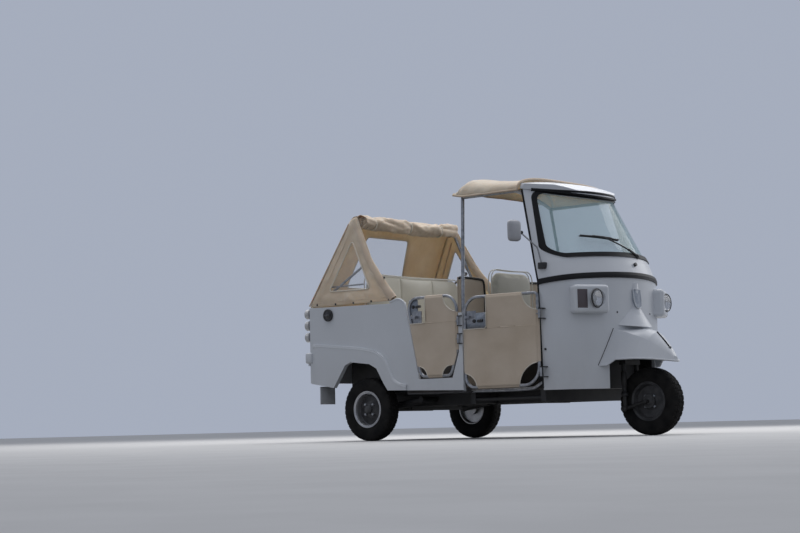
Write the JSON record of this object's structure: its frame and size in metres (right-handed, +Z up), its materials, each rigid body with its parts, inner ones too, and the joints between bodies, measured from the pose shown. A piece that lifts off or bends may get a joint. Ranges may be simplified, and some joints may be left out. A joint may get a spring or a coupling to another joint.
{
  "type": "auto rickshaw",
  "caption": "Covered passenger rickshaw with one steered front wheel, rounded cab, canvas side doors, bench seat and folding rear hood.",
  "frame": {"origin": "on the ground under the middle of the object's box", "axes": "+X forward along the vehicle, +Y to its left, +Z up"},
  "size_m": [2.94, 1.5768, 1.896],
  "materials": {
    "body": "semi-gloss off-white enamel, dusty",
    "guard": "semi-gloss off-white enamel, dusty",
    "canvas": "sand-beige coated canvas, matt",
    "seat": "olive-beige vinyl, satin",
    "rubber": "matt black",
    "tyre": "matt black, dusty",
    "rim": "silver paint, dark dish",
    "chassis": "black underbody paint",
    "tube": "galvanised grey",
    "engine": "plain block",
    "glass": "clear",
    "lens": "fluted lens",
    "red_lens": "red and amber lens",
    "plastic": "matt black"
  },
  "bodies": {
    "root": {"cab_shell": "body", "windscreen": "glass", "windscreen_gasket": "rubber", "waist_moulding": "rubber", "cab_roof": "body", "screen_visor": "body", "cab_floor": "chassis", "wheel_liners": "chassis", "front_mudguard": "guard", "nose_cowl": "body", "headlamp_housings": "body", "front_lenses": "lens", "mirror": "plastic", "wiper": "plastic", "body_side_right": "body", "body_side_left": "body", "rear_panel": "body", "rear_tub": "body", "chassis": "chassis", "engine": "engine", "rear_arms": "chassis", "headstock": "chassis", "door_hinges": "tube", "roof_posts": "tube", "roof_canopy": "canvas", "hood_canvas": "canvas", "hood_roll": "canvas", "bench_cushion": "seat", "bench_backrest": "seat", "driver_cushion": "seat", "driver_backrest": "seat", "driver_seat_box": "chassis", "rear_lamps": "red_lens", "rear_bumpers": "rubber", "filler_cap": "body"},
    "steering": {"steering_fork": "chassis", "handlebar": "tube"},
    "front_wheel": {"tyre_front": "tyre", "rim_front": "rim"},
    "rear_wheel_left": {"tyre_rear_left": "tyre", "rim_rear_left": "rim"},
    "rear_wheel_right": {"tyre_rear_right": "tyre", "rim_rear_right": "rim"},
    "door_front_right": {"door_frame_front_right": "tube", "door_canvas_front_right": "canvas"},
    "door_front_left": {"door_frame_front_left": "tube", "door_canvas_front_left": "canvas"},
    "door_rear_right": {"door_frame_rear_right": "tube", "door_canvas_rear_right": "canvas"},
    "door_rear_left": {"door_frame_rear_left": "tube", "door_canvas_rear_left": "canvas"}
  },
  "joints": [
    {"name": "steer", "type": "hinge", "parent": "root", "child": "steering", "pos_m": [1.1725, 0.065, 0.2375], "axis": [-0.3746, 0, 0.9272], "range_deg": [-38, 38]},
    {"name": "front_wheel_spin", "type": "hinge", "parent": "steering", "child": "front_wheel", "pos_m": [1.2325, 0.065, 0.2375], "axis": [0, 1, 0], "continuous": true},
    {"name": "rear_wheel_left_spin", "type": "hinge", "parent": "root", "child": "rear_wheel_left", "pos_m": [-0.8675, 0.685, 0.2375], "axis": [0, 1, 0], "continuous": true},
    {"name": "rear_wheel_right_spin", "type": "hinge", "parent": "root", "child": "rear_wheel_right", "pos_m": [-0.8675, -0.555, 0.2375], "axis": [0, 1, 0], "continuous": true},
    {"name": "door_front_right_hinge", "type": "hinge", "parent": "root", "child": "door_front_right", "pos_m": [0.75788, -0.58768, 0.7], "axis": [0, 0, 1], "range_deg": [0, 72]},
    {"name": "door_front_left_hinge", "type": "hinge", "parent": "root", "child": "door_front_left", "pos_m": [0.75788, 0.71768, 0.7], "axis": [0, 0, -1], "range_deg": [0, 72]},
    {"name": "door_rear_right_hinge", "type": "hinge", "parent": "root", "child": "door_rear_right", "pos_m": [0.074, -0.649, 0.7], "axis": [0, 0, 1], "range_deg": [0, 85]},
    {"name": "door_rear_left_hinge", "type": "hinge", "parent": "root", "child": "door_rear_left", "pos_m": [0.074, 0.779, 0.7], "axis": [0, 0, -1], "range_deg": [0, 85]}
  ]
}
